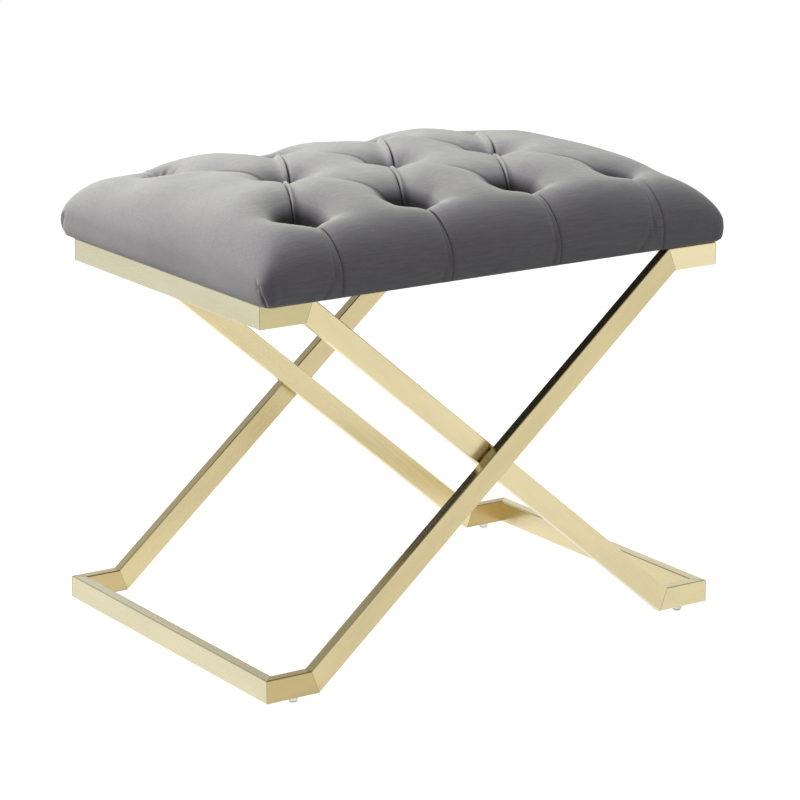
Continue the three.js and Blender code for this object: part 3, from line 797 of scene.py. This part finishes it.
def corner_flaps(x, y, height):
    """The cover's end is folded under its long side at each corner, with a curved step and a notch."""
    risen = np.maximum(0, height) / CORNER_FLAP_TOP
    line = HALF_DEPTH - CORNER_FLAP_INSET - CORNER_FLAP_SWEEP * risen**2
    across = np.abs(y) - line
    near_end = smooth_step((np.abs(x) - HALF_LENGTH + CORNER_FLAP_REACH) / CORNER_FLAP_START)
    shown = near_end * smooth_step((CORNER_FLAP_TOP - height) / CORNER_FLAP_FADE)
    step = smooth_step(across / CORNER_STEP_WIDTH + 0.5) * gauss(np.maximum(0, across), CORNER_STEP_REACH)
    notch = gauss(across + CORNER_NOTCH_PLACE, CORNER_NOTCH_WIDTH)
    return shown * CORNER_FLAP_STEP * (step - notch)


def undulation(x, y, z):
    """Slow unevenness of stuffed fabric."""
    wave = np.sin(WAVE_RATES[0] * x + WAVE_TURNS[0]) * np.sin(WAVE_RATES[1] * y + WAVE_TURNS[1])
    ripple = np.sin(RIPPLE_RATES[0] * x + RIPPLE_RATES[1] * y + RIPPLE_RATES[2] * z + RIPPLE_TURN)
    return WAVE_RISE * wave + RIPPLE_RISE * ripple


# Grid of the cushion

def grid_lines(half, shoulder):
    core = half - shoulder
    count = round(core / GRID_STEP)
    steps = [core * (i + 1) / count for i in range(count)]
    turns = [math.pi / 2 * (i + 1) / SHOULDER_STEPS for i in range(SHOULDER_STEPS)]
    positive = steps + [core + shoulder * math.sin(turn) for turn in turns]
    return np.array([-value for value in reversed(positive)] + [0.0] + positive)


def warp(x, y):
    """Draws grid points towards the folds, so that narrow flaps get enough of them."""
    moved_x, moved_y = x.copy(), y.copy()
    for fold in FOLDS:
        aside, before, after = fold_place(x, y, fold)[1:]
        aside = aside - FLAPS[fold["kind"]][0]
        pull = WARP_SHARE * aside * gauss(aside, WARP_REACH) * gauss(before + after, WARP_REACH)
        moved_x -= pull * fold["normal"].x
        moved_y -= pull * fold["normal"].y
    for tuft in OUTER_TUFTS:
        down = np.clip((tuft["side"] * y - ROW_SPACING) / (HALF_DEPTH - ROW_SPACING), 0, 1)
        aside = x - pleat_lines(tuft, down)[1]
        moved_x -= WARP_SHARE * aside * gauss(aside, WARP_REACH) * smooth_step(down / WARP_FADE)
    return moved_x, moved_y


def plan_place(x, y):
    """Rounds the plan's corners. Edge runs from 0 inside the shoulders to 1 at the outline."""
    core_x, core_y = HALF_LENGTH - END_SHOULDER, HALF_DEPTH - SIDE_SHOULDER
    reach_x = np.maximum(0, np.abs(x) - core_x) / END_SHOULDER
    reach_y = np.maximum(0, np.abs(y) - core_y) / SIDE_SHOULDER
    edge = np.minimum(1, np.maximum(reach_x, reach_y))
    power = CORNER_TOP_POWER + (CORNER_POWER - CORNER_TOP_POWER) * edge**CORNER_GROWTH
    norm = (reach_x**power + reach_y**power) ** (1 / power)
    rounding = np.where(edge > 0, edge / np.maximum(norm, TINY), 1)
    plan_x = np.sign(x) * (np.minimum(np.abs(x), core_x) + END_SHOULDER * reach_x * rounding)
    plan_y = np.sign(y) * (np.minimum(np.abs(y), core_y) + SIDE_SHOULDER * reach_y * rounding)
    return plan_x, plan_y, edge


def surface_normals(points):
    along = np.gradient(points, axis=1)
    across = np.gradient(points, axis=0)
    normals = np.cross(along, across)
    return normals / np.maximum(np.linalg.norm(normals, axis=2, keepdims=True), TINY)


def outline_normals(x, y):
    """Outward directions of the closed outline."""
    ahead_x = np.roll(x, -1) - np.roll(x, 1)
    ahead_y = np.roll(y, -1) - np.roll(y, 1)
    length = np.hypot(ahead_x, ahead_y)
    return ahead_y / length, -ahead_x / length


def wall_rings():
    """Heights of the rings below the widest line, and how far each stands out from the outline."""
    rings = []
    for step in range(1, WALL_RINGS + 1):
        angle = math.pi / 2 * step / WALL_RINGS
        share = math.sin(angle) ** (2 / WALL_POWER)
        height = WALL_HEIGHT - (WALL_HEIGHT - BASE_HEIGHT) * share
        rings.append((height, WALL_TUCK * (math.cos(angle) - 1)))
    rings.append((BASE_HEIGHT, -WALL_TUCK - BASE_MARGIN))
    return rings


def top_shade(x, y, edges):
    """Depth of the painted shade on the top, in its tufts and valleys, given the painted shade along the
    folds' edges.
    """
    in_front = smooth_step((-y - FRONT_SHADE_START) / FRONT_SHADE_FADE)
    hollows = pit_hollow(x + SHADE_SHIFT, y) + valleys(x, y)
    return np.maximum(hollows * (1 + FRONT_SHADE * in_front), edges)


def cushion_top():
    """Grid of the top's points, with the plain grid, its plan, and the depth of its painted shade."""
    xs = grid_lines(HALF_LENGTH, END_SHOULDER)
    ys = grid_lines(HALF_DEPTH, SIDE_SHOULDER)
    x, y = warp(*np.meshgrid(xs, ys))
    plan_x, plan_y, edge = plan_place(x, y)
    loft = np.sqrt(np.maximum(0, 1 - edge**SHOULDER_POWER))
    full = crown(plan_x, plan_y) - (pit_hollow(plan_x, plan_y) + valleys(plan_x, plan_y))
    z = RAIL_TOP + WALL_HEIGHT + (full - WALL_HEIGHT) * loft
    top = np.stack([plan_x, plan_y, z], axis=2)
    normals = surface_normals(top)
    flap, flap_shade = flaps(x, y)
    lift = ((flap + pucker(x, y)) * np.sqrt(loft))[..., None] * np.array([0, 0, 1.0])
    down = np.clip((np.abs(y) - ROW_SPACING) / (HALF_DEPTH - ROW_SPACING), 0, 1)
    pleat, pleat_shade = long_side_pleats(x, down, np.where(y < 0, -1, 1))
    outward = pleat + undulation(x, y, z) + corner_flaps(plan_x, plan_y, z - RAIL_TOP)
    pressed = top_shade(plan_x, plan_y, np.maximum(flap_shade, pleat_shade))
    return top + lift + outward[..., None] * normals, x, y, plan_x, plan_y, pressed


def cushion_mesh():
    top, x, y, plan_x, plan_y, pressed = cushion_top()
    index = np.arange(x.size).reshape(x.shape)
    outline = np.concatenate([index[0, :-1], index[:-1, -1], index[-1, :0:-1], index[:0:-1, 0]])
    base_x, base_y = plan_x.ravel()[outline], plan_y.ravel()[outline]
    grid_x, grid_y = x.ravel()[outline], y.ravel()[outline]
    out_x, out_y = outline_normals(base_x, base_y)
    side = np.where(grid_y < 0, -1, 1)
    on_long_side = smooth_step((np.abs(out_y) - LONG_SIDE_FROM) / LONG_SIDE_FADE)
    corners = [index[:-1, :-1], index[:-1, 1:], index[1:, 1:], index[1:, :-1]]
    points, press = [top.reshape(-1, 3)], [pressed.ravel()]
    faces = [np.stack(corners, axis=-1).reshape(-1, 4)]
    upper, start = outline, x.size
    for height, proud in wall_rings():
        down = 1 + (WALL_HEIGHT - height) / WALL_HEIGHT
        pleat, pleat_shade = long_side_pleats(grid_x, down, side)
        above_hem = smooth_step((height - BASE_HEIGHT) / HEM_HEIGHT)
        detail = pleat * on_long_side + corner_flaps(base_x, base_y, height)
        uneven = undulation(grid_x, grid_y, RAIL_TOP + height) * above_hem
        out = proud + detail * np.maximum(above_hem, HEM_SHARE) + uneven
        level = np.full_like(out, RAIL_TOP + height)
        points.append(np.stack([base_x + out_x * out, base_y + out_y * out, level], axis=1))
        press.append(pleat_shade * on_long_side)
        lower = np.arange(start, start + len(outline))
        faces.append(np.stack([upper, lower, np.roll(lower, -1), np.roll(upper, -1)], axis=-1))
        upper, start = lower, start + len(outline)
    cap = [upper[::-1].tolist()]
    vertices = np.concatenate(points).tolist()
    mesh = new_mesh("seat_cushion", vertices, np.concatenate(faces).tolist() + cap, smooth=True)
    # Depth of the painted shade in the tufts and along the creases, which darkens the velvet
    depth = mesh.attributes.new("painted_shade_depth", "FLOAT", "POINT")
    depth.data.foreach_set("value", np.concatenate(press))
    return mesh


def add_cushion(material):
    cushion = add_object(cushion_mesh(), material)
    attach(cushion, "root")
    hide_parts("seat_cover", "seat_foam")


# Materials of the frame and the hidden pieces

def dress(name, material):
    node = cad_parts[name]
    node.data.materials.clear()
    node.data.materials.append(material)


def leg_slope(name):
    low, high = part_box(name)
    return math.atan2(high.z - low.z, high.x - low.x)


def dress_frame():
    for loop, lean in (("inner_frame", 1), ("outer_frame", -1)):
        slope = leg_slope(f"{loop}_leg_front") * lean
        grains = {"leg": slope, "stub": 0.0, "rail": "y"}
        # Each tube's own tone carries painted light and shade
        for part, tone in GOLD_LIT_AND_SHADED_TONES[loop].items():
            grain = next(along for kind, along in grains.items() if kind in part)
            material = gold_material(f"gold_{loop}_{part}", grain, tone)
            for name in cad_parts:
                if name.startswith(f"{loop}_{part}"):
                    dress(name, material)
    spacer = gold_material("gold_spacers", 0.0, PLAIN_GOLD)
    for end in ("front", "back"):
        dress(f"crossing_spacer_{end}", spacer)


def dress_the_rest(zinc):
    gold = gold_material("gold_tabs", 0.0, PLAIN_GOLD)
    twine, plastic = twine_material(), clear_plastic_material()
    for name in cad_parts:
        if name.startswith("seat_tab"):
            dress(name, gold)
        elif name.startswith(("seat_bolt", "tee_nut")):
            dress(name, zinc)
        elif name.startswith("tuft_tie"):
            dress(name, twine)
        elif name.startswith("foot"):
            dress(name, plastic)
    dress("seat_board", plywood_material())
    dress("dust_cover", dust_cloth_material())


# Seams of the mitred corners

def end_ring(first, second):
    """Points that two tubes share, in order round the seam, and the seam's normal."""
    places = [
        {
            tuple(round(value, PLACE_DECIMALS) for value in node.matrix_world @ vertex.co)
            for vertex in node.data.vertices
        }
        for node in (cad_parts[first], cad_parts[second])
    ]
    shared = np.array(sorted(places[0] & places[1]))
    if len(shared) < SHARED_CORNERS:
        return None
    centre = (shared.min(axis=0) + shared.max(axis=0)) / 2
    spans = np.linalg.svd(shared - centre)[2]
    turns = np.arctan2((shared - centre) @ spans[1], (shared - centre) @ spans[0])
    return shared[np.argsort(turns)], spans[2]


def seam_mesh(rings):
    """Fine raised lines round the given rings."""
    vertices, faces = [], []
    for ring, normal in rings:
        count = len(ring)
        ahead = np.roll(ring, -1, axis=0) - np.roll(ring, 1, axis=0)
        outward = np.cross(ahead, normal)
        outward /= np.linalg.norm(outward, axis=1, keepdims=True)
        outward *= np.sign(((ring - ring.mean(axis=0)) * outward).sum(axis=1, keepdims=True))
        start = len(vertices)
        for across, rise in SEAM_SECTION:
            vertices += (ring + across * normal + rise * outward).tolist()
        for row in range(len(SEAM_SECTION)):
            below = start + row * count
            above = start + (row + 1) % len(SEAM_SECTION) * count
            for i in range(count):
                after = (i + 1) % count
                faces.append((below + i, below + after, above + after, above + i))
    return new_mesh("frame_seams", vertices, faces)


def add_seams(material):
    tubes = [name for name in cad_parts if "_frame_" in name]
    rings = []
    for i, first in enumerate(tubes):
        for second in tubes[i + 1:]:
            same_loop = first.split("_")[0] == second.split("_")[0]
            ring = end_ring(first, second) if same_loop else None
            if ring is not None:
                rings.append(ring)
    add_piece(seam_mesh(rings), material)


# Welds and staples

def bar_mesh(name, paths, radius, closed):
    """Fine round bars along the given paths of points."""
    vertices, faces = [], []
    for path in paths:
        points = [Vector(point) for point in path]
        count = len(points)
        start = len(vertices)
        for i, point in enumerate(points):
            last = points[i - 1] if closed or i > 0 else point
            following = points[(i + 1) % count] if closed or i < count - 1 else point
            ahead = (following - last).normalized()
            side = Vector((0, 1, 0)) if closed else ahead.orthogonal().normalized()
            up = ahead.cross(side)
            for turn in range(BAR_SIDES):
                angle = 2 * math.pi * turn / BAR_SIDES
                vertices.append(point + radius * (math.cos(angle) * side + math.sin(angle) * up))
        for i in range(count if closed else count - 1):
            first, second = start + i * BAR_SIDES, start + (i + 1) % count * BAR_SIDES
            for turn in range(BAR_SIDES):
                after = (turn + 1) % BAR_SIDES
                faces.append((first + turn, first + after, second + after, second + turn))
        if not closed:
            faces.append([start + turn for turn in reversed(range(BAR_SIDES))])
            faces.append([start + (count - 1) * BAR_SIDES + turn for turn in range(BAR_SIDES)])
    return new_mesh(name, vertices, faces, smooth=True)


def add_crossing_welds(material):
    """A bead round each end of the spacers between the legs."""
    turns = [2 * math.pi * i / WELD_STEPS for i in range(WELD_STEPS)]
    paths = []
    for end in ("front", "back"):
        low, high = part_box(f"crossing_spacer_{end}")
        centre, reach = (low + high) / 2, (high.x - low.x) / 2
        for y in (low.y + WELD_RADIUS, high.y - WELD_RADIUS):
            paths.append([
                (centre.x + reach * math.cos(turn), y, centre.z + reach * math.sin(turn)) for turn in turns
            ])
    add_piece(bar_mesh("crossing_welds", paths, WELD_RADIUS, True), material)


def add_staples(material):
    """Staples that hold the dust cover's long edges, between the frame's legs."""
    low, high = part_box("dust_cover")
    inner, outer = STAPLE_LENGTH / 2 - STAPLE_CORNER, STAPLE_LENGTH / 2
    leg, bend, crown_level = low.z + STAPLE_CORNER, low.z - STAPLE_BEND, low.z - STAPLE_CORNER
    profile = [
        (-outer, leg), (-outer, bend), (-inner, crown_level),
        (inner, crown_level), (outer, bend), (outer, leg),
    ]
    paths = []
    for y in (low.y + STAPLE_MARGIN, high.y - STAPLE_MARGIN):
        for i in range(STAPLE_COUNT):
            x = STAPLE_REACH * (2 * i / (STAPLE_COUNT - 1) - 1)
            paths.append([(x + across, y, z) for across, z in profile])
    add_piece(bar_mesh("cover_staples", paths, STAPLE_RADIUS, False), material)


bpy.context.scene.view_settings.view_transform = "Standard"
add_camera()
set_world()
for lamp_name, lamp in LAMPS.items():
    add_lamp(lamp_name, **lamp)
add_floor()
add_backdrop()
add_cushion(velvet_material())
dress_frame()
seam_gold, zinc_steel = seam_material(), zinc_material()
dress_the_rest(zinc_steel)
add_seams(seam_gold)
add_crossing_welds(seam_gold)
add_staples(zinc_steel)
